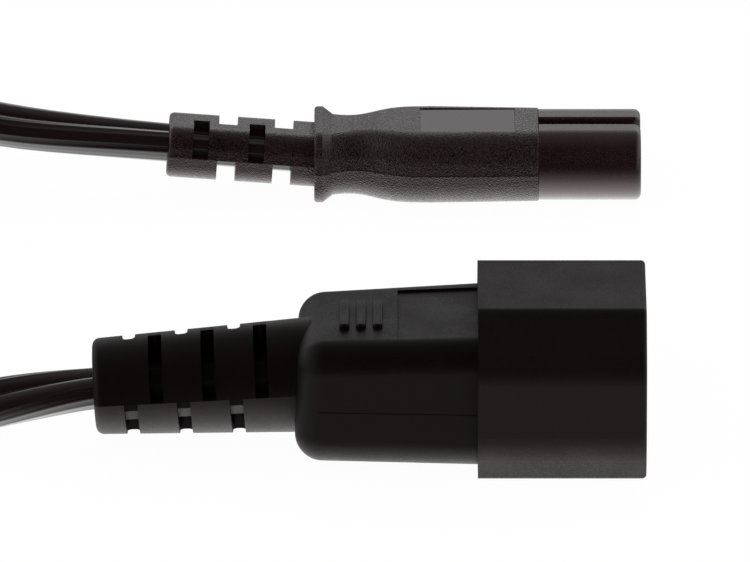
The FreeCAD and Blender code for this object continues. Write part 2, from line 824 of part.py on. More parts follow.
def build_hood():
    body = new_body("hood")
    middle = "hood_height / 2"
    back = "hood_front - hood_length"
    outer = new_sketch(body, "YZ_Plane", back, "plug_y", middle)
    leaning_foot = [
        ("-hood_width / 2", "hood_foot_rise - hood_height / 2"),
        ("hood_foot_lean - hood_width / 2", "-hood_height / 2"),
        ("hood_width / 2 - hood_foot_lean", "-hood_height / 2"),
        ("hood_width / 2", "hood_foot_rise - hood_height / 2"),
    ]
    hood_outline(outer, "hood_width", "hood_height", "hood_cut", leaning_foot)
    pad(body, outer, "hood_length")
    cavity = new_sketch(body, "YZ_Plane", "hood_front", "plug_y", middle)
    square_foot = [
        ("-cavity_width / 2", "-cavity_height / 2"),
        ("cavity_width / 2", "-cavity_height / 2"),
    ]
    hood_outline(cavity, "cavity_width", "cavity_height", "cavity_cut", square_foot)
    pocket(body, cavity, "cavity_depth")
    inner_low = size("hood_height") / 2 - size("cavity_height") / 2
    soften(body, "Fillet", lambda edge, at: lengthwise(edge, 5) and abs(at.z - inner_low) < 0.1,
           "cavity_corner")
    side = size("hood_width") / 2

    def outside_at(height):
        return lambda edge, at: (lengthwise(edge, 5) and abs(at.z - height) < 0.1
                                 and abs(at.y - size("plug_y")) > side - 0.1)

    soften(body, "Fillet", outside_at(size("hood_foot_rise")), "hood_corner")
    soften(body, "Fillet", lambda edge, at: lengthwise(edge, 5) and at.z < 0.1, "hood_foot")
    crown = size("hood_height")
    soften(body, "Fillet", lambda edge, at: lengthwise(edge, 5) and abs(at.z - crown) < 0.1, "hood_crown")
    soften(body, "Fillet", outside_at(size("hood_height - hood_cut")), "hood_shoulder")
    soften(body, "Fillet", flat_at(size("hood_front")), "hood_edge")
    carrier = new_sketch(body, "YZ_Plane", back, "plug_y", "carrier_mid")
    rounded(carrier, "carrier_width", "carrier_height", "carrier_corner")
    pad(body, carrier, "carrier_length", backward=True)
    slots = new_sketch(body, "YZ_Plane", "hood_front - cavity_depth", "plug_y", middle)
    for name, across, up in PIN_PLACES:
        rectangle(slots, "%s - pin_thick / 2" % across, "%s + pin_thick / 2" % across,
                  "%s - pin_height / 2" % up, "%s + pin_height / 2" % up)
    pocket(body, slots, "hood_length - cavity_depth + carrier_length")
    body.Label = "plug_hood"
    return body


def pin_tail_x():
    return "hood_front - hood_length - carrier_length"


def build_pin(label, across, up, wired):
    body = new_body("pin")
    tip = "hood_front - pin_recess"
    tail = pin_tail_x() + (" - pin_tail" if wired else "")
    side = "plug_y + %s" % across
    height = "hood_height / 2 + %s" % up
    blade = new_sketch(body, "YZ_Plane", tip, side, height)
    rectangle(blade, "-pin_thick / 2", "pin_thick / 2", "-pin_height / 2", "pin_height / 2")
    pad(body, blade, "%s - (%s)" % (tip, tail), backward=True)
    soften(body, "Chamfer", flat_at(size(tip)), "pin_bevel")
    if wired:
        barrel = new_sketch(body, "YZ_Plane", tail, side, height)
        disc(barrel, "0", "0", "barrel_radius")
        pad(body, barrel, "barrel_length", backward=True)
        hole = new_sketch(body, "YZ_Plane", "%s - barrel_length" % tail, side, height)
        disc(hole, "0", "0", "strand_radius")
        pocket(body, hole, "plug_strand_length - 1", forward=True)
    body.Label = label
    return body


def build_plug_wires(side, tag):
    across = "plug_y + %d * pin_pitch / 2" % side
    height = "hood_height / 2 - pin_offset"
    tail = pin_tail_x() + " - pin_tail - barrel_length - 1"
    strands = rod("strands", "strand_radius", "plug_strand_length", (tail, across, height))
    strands.Label = "plug_strands_" + tag
    lobe = size("plug_y") + side * (size("cord_width") - size("cord_thick")) / 2
    end = plug_relief_point(-size("plug_sheath_inside"))
    turn = plug_relief_point(-size("plug_sheath_inside + plug_core_end"))
    points = [
        (size(tail), size(across), size(height)),
        (size(tail) - size("plug_core_lead"), size(across), size(height)),
        (turn.x, lobe, turn.z),
        (end.x, lobe, end.z),
    ]
    core = sweep("plug_core", points, core_outline, False)
    core.Label = "plug_core_" + tag
    return [strands, core]


# Plug overmould

def build_plug_grip():
    body = new_body("plug_grip")
    front = "hood_front - hood_length"
    sections = []
    for along, up, width, height in (
            (front, "plug_mid", "plug_front_width", "plug_front_height"),
            ("plug_back", "plug_mid - plug_back_drop", "plug_back_width", "plug_back_height")):
        section = new_sketch(body, "YZ_Plane", along, "plug_y", up)
        rounded(section, width, height, "plug_side_edge")
        sections.append(section)
    sections[1].AttachmentOffset = FreeCAD.Placement(Vec(), FreeCAD.Rotation(Vec(1, 0, 0), 1))
    bind(sections[1], "AttachmentOffset.Rotation.Angle", "plug_back_lean")
    loft(body, sections)
    soften(body, "Fillet", behind(size("plug_back + plug_back_lean")), "plug_back_edge")
    label = new_sketch(body, "XZ_Plane", "plug_label_width / 2 - plug_y")
    slope = "(plug_back_drop + (plug_front_height - plug_back_height) / 2) / (%s - plug_back)" % front
    floor = "plug_mid + plug_front_height / 2 - plug_label_depth"
    rear_floor = "%s - plug_label_length * %s" % (floor, slope)
    front_floor = "%s + plug_label_run * %s" % (floor, slope)
    rear = "%s - plug_label_length" % front
    ahead = "%s + plug_label_run" % front
    above = "plug_mid + plug_front_height"
    polygon(label, [(rear, rear_floor), (ahead, front_floor), (ahead, above), (rear, above)])
    pocket(body, label, "plug_label_width")
    top = "plug_mid + rib_low"
    for index in range(3):
        middle = "rib_first - %d * rib_pitch" % index
        rib = new_sketch(body, "XY_Plane", top, middle, "plug_y + rib_shift")
        rounded(rib, "rib_width", "rib_length", "rib_corner")
        pad(body, rib, "rib_rise")
    soften(body, "Fillet", flat_at(size(top + " + rib_rise"), "z"), "rib_edge")
    return body


def pocket_outline(sketch, wall, side, way):
    """Outline of one relief pocket round the core, from a wall out to one side, above or below the middle."""
    polygon(sketch, [
        (wall, way + "slot_reach"),
        (wall, way + "pocket_top"),
        (side + "pocket_step", way + "pocket_top"),
        (side + "pocket_side", way + "pocket_low"),
        (side + "pocket_side", "0"),
        (side + "slot_reach", "0"),
        (side + "slot_reach", way + "slot_reach"),
    ])


def build_plug_relief():
    body = new_body("plug_relief")
    sections = []
    for along, width, height in (("plug_relief_root", "plug_relief_width", "plug_relief_height"),
                                 ("-plug_relief_length", "plug_relief_end_width",
                                  "plug_relief_end_height")):
        section = new_sketch(body, "YZ_Plane", along)
        lens(section, width, height)
        sections.append(section)
    loft(body, sections)
    soften(body, "Fillet", flat_at(-size("plug_relief_length")), "plug_relief_edge")
    for index in range(3):
        step = " + %d * pocket_pitch" % index
        windows = new_sketch(body, "YZ_Plane", "-(pocket_upper%s)" % step)
        pocket_outline(windows, "pocket_cross", "-", "")
        pocket_outline(windows, "pocket_part", "", "-")
        pocket(body, windows, "pocket_slot")
        gaps = new_sketch(body, "YZ_Plane", "-(pocket_lower%s)" % step)
        pocket_outline(gaps, "pocket_cross", "", "")
        pocket_outline(gaps, "-pocket_part", "-", "-")
        pocket(body, gaps, "pocket_slot")
    body.Placement = FreeCAD.Placement(Vec(), FreeCAD.Rotation(Vec(0, 1, 0), 1))
    bind(body, "Placement.Base.x", "plug_back")
    bind(body, "Placement.Base.y", "plug_y")
    bind(body, "Placement.Base.z", "plug_relief_mid")
    bind(body, "Placement.Rotation.Angle", "-plug_relief_sag")
    doc.recompute()
    return body


# Cord, coil and tie

def build_runs(coil):
    """The two open stretches of the cord, from inside each end to the coil, trimmed to its stubs."""
    runs = []
    for label, points in (("cord_run_connector", connector_points()), ("cord_run_plug", plug_points())):
        last = Vec(*points[-1])
        ahead = (last - Vec(*points[-2])).normalize()
        whole = sweep("run", points[:-1] + [tuple(last + ahead * TRIM)], twin_outline, True)
        run = cut("run_trimmed", whole, coil)
        run.Label = label
        runs.append(run)
    return runs


def connector_points():
    ends = [relief_point(-size("sheath_inside")), relief_point(CONNECTOR_FIRST_BEND)]
    return [tuple(point) for point in ends] + CONNECTOR_ROUTE


def plug_points():
    ends = [plug_relief_point(-size("plug_sheath_inside")), plug_relief_point(PLUG_FIRST_BEND)]
    return [tuple(point) for point in ends] + PLUG_ROUTE


def build_coil():
    """A ring for the turns, with a short stub on towards each open stretch."""
    outer = doc.addObject("Part::Cylinder", "coil_outer")
    inner = doc.addObject("Part::Cylinder", "coil_inner")
    for item, sign in ((outer, "+"), (inner, "-")):
        bind(item, "Radius", "coil_radius %s (cord_width / 2 + coil_clear)" % sign)
        bind(item, "Height", "coil_top - coil_bottom")
        bind(item, "Placement.Base.x", "coil_x")
        bind(item, "Placement.Base.y", "coil_y")
        bind(item, "Placement.Base.z", "coil_bottom")
    ring = cut("coil_ring", outer, inner)
    rims = edge_names(ring.Shape, lambda edge, at: edge.Length > 50)
    rounded_ring = doc.addObject("Part::Fillet", "coil_rounded")
    rounded_ring.Base = ring
    rounded_ring.Edges = [(int(name[4:]), COIL_RIM, COIL_RIM) for name in rims]
    doc.recompute()
    stubs = []
    for points in (connector_points(), plug_points()):
        last = Vec(*points[-1])
        ahead = (last - Vec(*points[-2])).normalize()
        stubs.append(sweep("coil_stub", [tuple(last), tuple(last + ahead * STUB_LENGTH)], stub_outline, True))
    coil = join("coil", [rounded_ring] + stubs)
    coil.Label = "cord_coil"
    return coil, rounded_ring


def build_tie(ring):
    reach = "coil_radius + cord_width / 2 + coil_clear + tie_thick"
    strap = block("tie_block", "cord_width + 2 * (coil_clear + tie_thick)", "tie_width", "coil_top + tie_thick",
                  ("coil_x - (%s)" % reach, "coil_y - tie_width / 2", "0"))
    doc.recompute()
    tie = cut("tie", strap, ring)
    tie.Label = "coil_tie"
    return tie


nose = build_nose()
contacts = [build_contact(1, "contact_line"), build_contact(-1, "contact_neutral")]
connector_wires = build_connector_wires(1, "line") + build_connector_wires(-1, "neutral")
coil, coil_ring = build_coil()
tie = build_tie(coil_ring)
connector_run, plug_run = build_runs(coil)

socket_fills = [build_socket_fill(1), build_socket_fill(-1)]
connector_inner = join("connector_inner", [nose] + contacts + socket_fills + connector_wires + [connector_run])
connector_form = join("connector_form", [build_connector_grip(), build_connector_relief()])
connector_overmould = cut("connector_overmould", connector_form, connector_inner)
connector_overmould.Label = "connector_overmould"

hood = build_hood()
pins = [build_pin(name, across, up, name != "pin_earth") for name, across, up in PIN_PLACES]
plug_wires = build_plug_wires(1, "line") + build_plug_wires(-1, "neutral")
plug_inner = join("plug_inner", [hood] + pins + plug_wires + [plug_run])
plug_form = join("plug_form", [build_plug_grip(), build_plug_relief()])
plug_overmould = cut("plug_overmould", plug_form, plug_inner)
plug_overmould.Label = "plug_overmould"

doc.recompute()
for item in doc.Objects:
    if "Invalid" in item.State or "Error" in item.State:
        raise RuntimeError("%s is not good: %s" % (item.Name, item.State))

handed_out = [nose, connector_overmould, coil, tie, connector_run, plug_run, hood, plug_overmould]
handed_out += contacts + connector_wires + pins + plug_wires
os.makedirs("parts", exist_ok=True)
for item in handed_out:
    shape = item.Shape
    if shape.isNull() or not shape.isValid() or len(shape.Solids) != 1:
        raise RuntimeError("%s: no single valid solid (%d)" % (item.Label, len(shape.Solids)))
    shape.exportStep("parts/%s.step" % item.Label)
    box = shape.BoundBox
    print("%-28s volume %9.1f  x %.2f %.2f  y %.2f %.2f  z %.2f %.2f" % (
        item.Label, shape.Volume, box.XMin, box.XMax, box.YMin, box.YMax, box.ZMin, box.ZMax))
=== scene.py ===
import math
import bmesh
import bpy
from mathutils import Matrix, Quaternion, Vector


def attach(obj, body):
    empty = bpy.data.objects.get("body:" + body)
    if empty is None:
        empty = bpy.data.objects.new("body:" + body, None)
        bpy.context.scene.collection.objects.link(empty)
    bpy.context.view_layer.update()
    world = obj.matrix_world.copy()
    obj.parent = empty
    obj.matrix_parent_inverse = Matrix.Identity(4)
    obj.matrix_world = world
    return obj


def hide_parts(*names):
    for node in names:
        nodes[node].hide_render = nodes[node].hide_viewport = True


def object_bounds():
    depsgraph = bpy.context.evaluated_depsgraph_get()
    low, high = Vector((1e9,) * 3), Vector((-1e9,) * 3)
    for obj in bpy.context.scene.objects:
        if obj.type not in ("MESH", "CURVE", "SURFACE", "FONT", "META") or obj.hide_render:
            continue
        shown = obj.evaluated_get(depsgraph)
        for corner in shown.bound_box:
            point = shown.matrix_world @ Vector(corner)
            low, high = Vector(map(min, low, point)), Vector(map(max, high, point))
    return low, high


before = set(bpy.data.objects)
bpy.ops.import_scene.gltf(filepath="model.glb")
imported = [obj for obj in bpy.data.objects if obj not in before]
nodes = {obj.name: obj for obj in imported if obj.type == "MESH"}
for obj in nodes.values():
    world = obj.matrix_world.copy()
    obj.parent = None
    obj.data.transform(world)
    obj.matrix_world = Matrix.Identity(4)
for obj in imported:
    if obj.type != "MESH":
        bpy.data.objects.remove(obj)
cad_low, cad_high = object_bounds()
scene = bpy.context.scene
# Lengths are in millimetres unless a heading says metres
MM = 0.001

# Camera: the photograph's view, from the front, raised a little and far away
CAMERA_TARGET = (-3.4, -44.0, 4.2)
CAMERA_DISTANCE = 2400.0
CAMERA_RISE = 20.0
CAMERA_LENS = 975.0

# Stage light; the floor's size is in metres
FLOOR_SIZE = 60.0
FLOOR_COLOUR = (0.9, 0.9, 0.9, 1.0)
FLOOR_GLOW_SHARE = 0.97
FLOOR_GAP = 0.02
ROOM_LEVEL = 0.03
BELOW_LEVEL = 4.6
BELOW_CURVE = 1.9
ABOVE_LEVEL = 0.34
BEHIND_LEVEL = 0.85
SIDE_LEVEL = 1.2
# Where each light fades in, by the direction's Z, Y, Y, X and Z
BELOW_SPAN = (0.2, -1.0)
ABOVE_SPAN = (-0.65, 0.6)
BEHIND_SPAN = (0.75, 0.98)
SIDE_SPAN = (0.35, 0.95)
HORIZON_SPAN = (-0.1, 0.1)
# The light table has this share at the front, and all of it where the direction's Y ends this span
FRONT_SHARE = 0.75
FRONT_SPAN = (-0.97, -0.55)
# Lamps: size and place in metres, and power in watts
LAMP_SIZE = 1.4
TOP_LAMP = ((0.35, 1.05, 1.5), 16.0)
FRONT_LAMP = ((-0.3, -1.6, 1.2), 25.0)

# Cord: a flat twin sheath, its wide side level in the coil
LOBE_RADIUS = 1.85
LOBE_OFFSET = 1.35
LOBE_STEPS = 56
RIB_HEIGHT = 0.1
RIB_HALF_ANGLE = 4.0
RIB_ANGLES = (-42.0, -3.0, 24.0, 55.0, 80.0)
CONNECTOR_ROUTE = [
    (-6.212, 0.0, 4.07),
    (-40.22, 0.0, 6.67),
    (-56.0, -1.0, 10.05),
    (-69.0, -3.2, 12.4),
    (-81.0, -5.2, 13.9),
]
PLUG_ROUTE = [
    (-81.0, -83.2, 2.5),
    (-71.0, -85.2, 2.5),
    (-58.0, -87.4, 2.7),
    (-41.0, -88.0, 6.55),
    (-26.0, -88.0, 7.798),
    (-10.703, -88.0, 8.707),
]
# Roll of each open stretch about its line: X where it starts, where it is largest and ends, and degrees
CONNECTOR_ROLL = (-26.0, -56.0, -80.0, 18.0)
PLUG_ROLL = (-33.0, -53.0, -80.0, 33.0)
COIL_CENTRE = (-104.0, -44.0)
COIL_RADIUS = 38.0
COIL_TURNS = 3.5
COIL_STEPS = 24
COIL_TOP = 15.45
COIL_BOTTOM = 2.5
CORD_SAMPLES = 8

# Sheath finish: lines around and along, and their depth
SHEATH_DARK = (0.006, 0.003, 0.0033)
SHEATH_LIGHT = (0.009, 0.0048, 0.0052)
SHEATH_ROUGH = (0.06, 0.13)
SHEATH_LEVEL = 0.45
SHEATH_LINES = (90.0, 30.0)
SHEATH_DEPTH = 0.014

# Plastics: spots closer along X, a share of the grain on a strain relief, and a warm gloss
CLOUD_SCALE = 0.18
CLOUD_SHARE = 0.3
SPOT_SPAN = (0.48, 0.82)
DULL_SPAN = (0.7, 1.3)
GRAIN_STRETCH = (1.4, 1.0, 1.0)
RELIEF_GRAIN = 0.7
RELIEF_FADE = 0.2
GLOSS_TINT = (1.0, 0.86, 0.87, 1.0)

# Metals: scratches along X, and duller patches
SCRATCH_STRETCH = (0.15, 1.0, 1.0)
SCRATCH_DEPTH = 0.01
PATCH_SCALE = 0.5
PATCH_SPAN = (0.35, 0.7)

# Insulation of the cores
CORE_SCALE = 0.8
CORE_ROUGH = (0.35, 0.5)
CORE_DEPTH = 0.02

# A noise lies mostly in this span
NOISE_SPAN = (0.3, 0.7)

# Half height of the step at a moulding's parting line
SEAM_HALF = 0.1

# Plug strain relief: its tilted axis, end sections as distance, width and height, and its pockets
RELIEF_BASE = (-12.5, -88.0, 8.6)
RELIEF_SAG = 3.4
RELIEF_ROOT = (-2.0, 14.4, 13.3)
RELIEF_END = (23.5, 14.0, 10.9)
POCKET_STARTS = (3.15, 9.27, 15.39)
GAP_STARTS = (6.2, 12.32, 18.44)
POCKET_WIDTH = 1.55
POCKET_FLOOR = 3.0
POCKET_WALL = 1.9
POCKET_CROSS = 0.15
POCKET_ROUND = 0.6
POCKET_REACH = 2.4
POCKET_DEPTH = 9.0
CUT_INSET = 0.02
WEB_STEPS = 8
WELD = 0.002
SHARP_DEGREES = 30.0
PARTING_NEAR = 0.02


def point(place):
    return Vector(place) * MM


def aim(item, target):
    item.rotation_mode = "QUATERNION"
    item.rotation_quaternion = (Vector(target) - item.location).to_track_quat("-Z", "Y")


def add_camera():
    rise = math.radians(CAMERA_RISE)
    data = bpy.data.cameras.new("camera")
    data.lens = CAMERA_LENS
    data.clip_start = 0.1
    data.clip_end = 100.0
    camera = bpy.data.objects.new("camera", data)
    back = Vector((0.0, -math.cos(rise), math.sin(rise)))
    camera.location = point(CAMERA_TARGET) + back * (CAMERA_DISTANCE * MM)
    aim(camera, point(CAMERA_TARGET))
    scene.collection.objects.link(camera)
    scene.camera = camera


# Node helpers
def add_node(tree, kind, inputs=None, **settings):
    made = tree.nodes.new(kind)
    for name, value in settings.items():
        setattr(made, name, value)
    for name, value in (inputs or {}).items():
        socket = made.inputs[name]
        if isinstance(value, bpy.types.NodeSocket):
            tree.links.new(value, socket)
        else:
            socket.default_value = value
    return made


def calc(tree, operation, first, second=0.0):
    made = add_node(tree, "ShaderNodeMath", {0: first, 1: second}, operation=operation)
    return made.outputs[0]


def ease(tree, value, start, end, low=0.0, high=1.0, kind="SMOOTHSTEP"):
    """A step of a value from low at start to high at end, smooth unless another kind is named."""
    settings = {"Value": value, 1: start, 2: end, 3: low, 4: high}
    made = add_node(tree, "ShaderNodeMapRange", settings, interpolation_type=kind)
    return made.outputs[0]


def calc_vector(tree, operation, first, second):
    made = add_node(tree, "ShaderNodeVectorMath", {0: first, 1: second}, operation=operation)
    return made.outputs[0]


def mix_colour(tree, share, first, second):
    """A blend of two colours, by the mix node's colour sockets."""
    made = add_node(tree, "ShaderNodeMix", {0: share, 6: first, 7: second}, data_type="RGBA")
    return made.outputs[2]


def fresh_tree(owner):
    """The node tree of a world or a material, with nothing in it."""
    owner.use_nodes = True
    owner.node_tree.nodes.clear()
    return owner.node_tree


def add_world():
    """A dim room with white screens behind, above and at both sides, and a light table below."""
    world = bpy.data.worlds.new("studio")
    tree = fresh_tree(world)
    direction = add_node(tree, "ShaderNodeTexCoord").outputs["Generated"]
    axes = add_node(tree, "ShaderNodeSeparateXYZ", {0: direction})
    depth = ease(tree, axes.outputs["Z"], *BELOW_SPAN, 0.0, 1.0, "LINEAR")
    below = calc(tree, "MULTIPLY", calc(tree, "POWER", depth, BELOW_CURVE), BELOW_LEVEL)
    below = calc(tree, "MULTIPLY", below, ease(tree, axes.outputs["Y"], *FRONT_SPAN, FRONT_SHARE, 1.0))
    above = ease(tree, axes.outputs["Y"], *ABOVE_SPAN, 0.0, ABOVE_LEVEL)
    behind = ease(tree, axes.outputs["Y"], *BEHIND_SPAN, 0.0, BEHIND_LEVEL)
    aside = ease(tree, calc(tree, "ABSOLUTE", axes.outputs["X"]), *SIDE_SPAN, 0.0, SIDE_LEVEL)
    screens = calc(tree, "ADD", calc(tree, "ADD", above, behind), aside)
    upper = calc(tree, "MULTIPLY", screens, ease(tree, axes.outputs["Z"], *HORIZON_SPAN))
    level = calc(tree, "ADD", calc(tree, "ADD", below, upper), ROOM_LEVEL)
    seen = add_node(tree, "ShaderNodeLightPath").outputs["Is Camera Ray"]
    strength = calc(tree, "MAXIMUM", level, seen)
    glow = add_node(tree, "ShaderNodeBackground", {"Strength": strength})
    add_node(tree, "ShaderNodeOutputWorld", {"Surface": glow.outputs[0]})
    scene.world = world


def add_floor():
    """White paper that shows white and keeps a faint shadow; gloss looks past it to the light below."""
    mesh = bpy.data.meshes.new("floor")
    half = FLOOR_SIZE / 2
    corners = [(-half, -half, 0.0), (half, -half, 0.0), (half, half, 0.0), (-half, half, 0.0)]
    mesh.from_pydata(corners, [], [(0, 1, 2, 3)])
    floor = bpy.data.objects.new("floor", mesh)
    scene.collection.objects.link(floor)
    material = bpy.data.materials.new("floor_paper")
    tree = fresh_tree(material)
    path = add_node(tree, "ShaderNodeLightPath")
    paper = add_node(tree, "ShaderNodeBsdfDiffuse", {"Color": FLOOR_COLOUR})
    glow = add_node(tree, "ShaderNodeEmission", {"Strength": 1.0})
    seen = calc(tree, "MULTIPLY", path.outputs["Is Camera Ray"], FLOOR_GLOW_SHARE)
    lit = add_node(tree, "ShaderNodeMixShader", {0: seen, 1: paper.outputs[0], 2: glow.outputs[0]})
    clear = add_node(tree, "ShaderNodeBsdfTransparent")
    passing = calc(tree, "MAXIMUM", path.outputs["Is Glossy Ray"], path.outputs["Is Transmission Ray"])
    surface = add_node(tree, "ShaderNodeMixShader", {0: passing, 1: lit.outputs[0], 2: clear.outputs[0]})
    add_node(tree, "ShaderNodeOutputMaterial", {"Surface": surface.outputs[0]})
    mesh.materials.append(material)
    floor.location.z = cad_low.z - FLOOR_GAP * MM


def add_lamp(name, place, power):
    data = bpy.data.lights.new(name, "AREA")
    data.shape = "DISK"
    data.size = LAMP_SIZE
    data.energy = power
    lamp = bpy.data.objects.new(name, data)
    lamp.location = place
    lamp.visible_camera = False
    lamp.visible_glossy = False
    aim(lamp, (0.0, 0.0, 0.0))
    scene.collection.objects.link(lamp)


def mesh_object(name, form):
    mesh = bpy.data.meshes.new(name)
    form.to_mesh(mesh)
    form.free()
    made = bpy.data.objects.new(name, mesh)
    scene.collection.objects.link(made)
    return made


# Cord
def coil_points():
    """The put-away turns, wound down from the top; a spline of order 3 runs a little inside its points."""
    spread = COIL_RADIUS / math.cos(math.pi / COIL_STEPS) ** 2
    count = round(COIL_TURNS * COIL_STEPS)
    places = []
    for index in range(count + 1):
        share = index / count
        angle = math.pi / 2 + share * COIL_TURNS * 2 * math.pi
        height = COIL_TOP + (COIL_BOTTOM - COIL_TOP) * share
        across = COIL_CENTRE[1] + spread * math.sin(angle)
        places.append((COIL_CENTRE[0] + spread * math.cos(angle), across, height))
    return places


def cord_line():
    """Points along the cord's smooth line, read from a spline with no thickness."""
    route = CONNECTOR_ROUTE + coil_points() + PLUG_ROUTE
    data = bpy.data.curves.new("cord_route", "CURVE")
    data.dimensions = "3D"
    data.resolution_u = CORD_SAMPLES
    spline = data.splines.new("NURBS")
    spline.points.add(len(route) - 1)
    for item, place in zip(spline.points, route):
        item.co = (*point(place), 1.0)
    spline.order_u = 3
    spline.use_endpoint_u = True
    guide = bpy.data.objects.new("cord_route", data)
    scene.collection.objects.link(guide)
    bpy.context.view_layer.update()
    line = bpy.data.meshes.new_from_object(guide)
    places = [vertex.co.copy() for vertex in line.vertices]
    bpy.data.objects.remove(guide)
    bpy.data.meshes.remove(line)
    return places


def lobe_radius(angle):
    """Radius of one lobe, with its fine moulded ribs."""
    rise = 0.0
    for rib in RIB_ANGLES:
        rise += RIB_HEIGHT * math.exp(-((angle - rib) / RIB_HALF_ANGLE) ** 2)
    return LOBE_RADIUS + rise


def cord_profile():
    """Outline of the flat twin sheath as (sideways, up) pairs, anticlockwise from the lower groove."""
    meet = 180.0 - math.degrees(math.acos(LOBE_OFFSET / LOBE_RADIUS))
    outline = []
    for side in (1, -1):
        for step in range(LOBE_STEPS):
            angle = -meet + 2 * meet * step / LOBE_STEPS
            radius = lobe_radius(angle)
            sideways = LOBE_OFFSET + radius * math.cos(math.radians(angle))
            outline.append((side * sideways * MM, side * radius * math.sin(math.radians(angle)) * MM))
    return outline


def smooth_share(value, start, end):
    share = min(max((value - start) / (end - start), 0.0), 1.0)
    return share * share * (3.0 - 2.0 * share)


def roll_at(place, ahead):
    """Turn of the cord about its line, so that the far lobe lies higher than the near one."""
    along = place.x / MM
    start, most, end, degrees = CONNECTOR_ROLL if place.y / MM > COIL_CENTRE[1] else PLUG_ROLL
    turn = degrees * smooth_share(along, start, most) * (1.0 - smooth_share(along, most, end))
    return math.radians(math.copysign(turn, ahead.x))


def sweep_outline(name, line, outline):
    """A closed mesh tube along a line, rolled a little, with lengthwise coordinates for the finish."""
    form = bmesh.new()
    around_layer = form.loops.layers.uv.new("lengthwise")
    rings = []
    travelled = [0.0]
    for index, place in enumerate(line):
        ahead = line[min(index + 1, len(line) - 1)] - line[max(index - 1, 0)]
        ahead.normalize()
        level = Vector((0.0, 0.0, 1.0)).cross(ahead).normalized()
        left = Quaternion(ahead, roll_at(place, ahead)) @ level
        up = ahead.cross(left)
        rings.append([form.verts.new(place + left * side + up * rise) for side, rise in outline])
        if index:
            travelled.append(travelled[-1] + (place - line[index - 1]).length)
    count = len(outline)
    for index in range(len(rings) - 1):
        for step in range(count):
            following = (step + 1) % count
            corners = (rings[index][step], rings[index + 1][step],
                       rings[index + 1][following], rings[index][following])
            face = form.faces.new(corners)
            face.smooth = True
            marks = ((step, index), (step, index + 1), (step + 1, index + 1), (step + 1, index))
            for loop, (turn, along) in zip(face.loops, marks):
                loop[around_layer].uv = (turn / count, travelled[along])
    form.faces.new(rings[0])
    form.faces.new(list(reversed(rings[-1])))
    bmesh.ops.recalc_face_normals(form, faces=form.faces)
    return mesh_object(name, form), travelled[-1]


def add_cord(material, plug_body):
    line = cord_line()
    cord, length = sweep_outline("flat_cord", line, cord_profile())
    cord.data.materials.append(material)
    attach(cord, "root")
    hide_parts("cord_run_connector", "cord_coil", "cord_run_plug")


# Plug body: the solid's moulding with its relief pockets carried to the middle
def relief_place(distance, sideways, height):
    """A point by its distance behind the grip and its place across and above the relief's axis."""
    sag = math.radians(RELIEF_SAG)
    along = RELIEF_BASE[0] - distance * math.cos(sag) - height * math.sin(sag)
    up = RELIEF_BASE[2] - distance * math.sin(sag) + height * math.cos(sag)
    return point((along, RELIEF_BASE[1] + sideways, up))


def relief_height(place):
    """Height of a point above the relief's axis, in millimetres."""
    sag = math.radians(RELIEF_SAG)
    offset = place / MM - Vector(RELIEF_BASE)
    return offset.z * math.cos(sag) - offset.x * math.sin(sag)


def relief_top(distance, sideways):
    """Height of the relief's upper arc above its axis."""
    share = (distance - RELIEF_ROOT[0]) / (RELIEF_END[0] - RELIEF_ROOT[0])
    width = RELIEF_ROOT[1] + (RELIEF_END[1] - RELIEF_ROOT[1]) * share
    height = RELIEF_ROOT[2] + (RELIEF_END[2] - RELIEF_ROOT[2]) * share
    radius = (width ** 2 + height ** 2) / (4 * height)
    return height / 2 - radius + math.sqrt(radius ** 2 - sideways ** 2)


def add_prism(form, lower, upper):
    """A closed prism between two rings of points."""
    rings = [[form.verts.new(place) for place in ring] for ring in (lower, upper)]
    count = len(lower)
    for step in range(count):
        following = (step + 1) % count
        form.faces.new((rings[0][step], rings[0][following], rings[1][following], rings[1][step]))
    form.faces.new(list(reversed(rings[0])))
    form.faces.new(rings[1])


def pocket_plan(start, side):
    """Plan of a pocket that comes in from one side and ends round, just past the middle."""
    near = start + CUT_INSET
    far = start + POCKET_WIDTH - CUT_INSET
    end = -side * POCKET_CROSS
    plan = [(far, side * POCKET_REACH), (near, side * POCKET_REACH)]
    for centre, first in ((near + POCKET_ROUND, 180.0), (far - POCKET_ROUND, 270.0)):
        for step in range(WEB_STEPS + 1):
            angle = math.radians(first + 90.0 * step / WEB_STEPS)
            across = end + side * POCKET_ROUND * (1.0 + math.sin(angle))
            plan.append((centre + POCKET_ROUND * math.cos(angle), across))
    return plan


def pocket_cutter():
    """Prisms that carry the far pockets above and both sets below on to the middle."""
    form = bmesh.new()
    cuts = [(start, 1, 1) for start in GAP_STARTS]
    cuts += [(start, -1, -1) for start in GAP_STARTS]
    cuts += [(start, 1, -1) for start in POCKET_STARTS]
    for start, side, way in cuts:
        plan = pocket_plan(start, side)
        floor = way * (POCKET_FLOOR + CUT_INSET)
        lower = [relief_place(along, across, floor) for along, across in plan]
        upper = [relief_place(along, across, way * POCKET_DEPTH) for along, across in plan]
        add_prism(form, lower, upper)
    bmesh.ops.recalc_face_normals(form, faces=form.faces)
    return form


def add_webs(form):
    """The near pockets above end at the middle: the rest of each is filled up to the relief's arc."""
    for start in POCKET_STARTS:
        rings = []
        for along in (start, start + POCKET_WIDTH):
            ring = [relief_place(along, across, POCKET_FLOOR) for across in (POCKET_WALL, POCKET_CROSS)]
            for step in range(WEB_STEPS + 1):
                across = POCKET_CROSS + (POCKET_WALL - POCKET_CROSS) * step / WEB_STEPS
                ring.append(relief_place(along, across, relief_top(along, across)))
            rings.append(ring)
        add_prism(form, *rings)


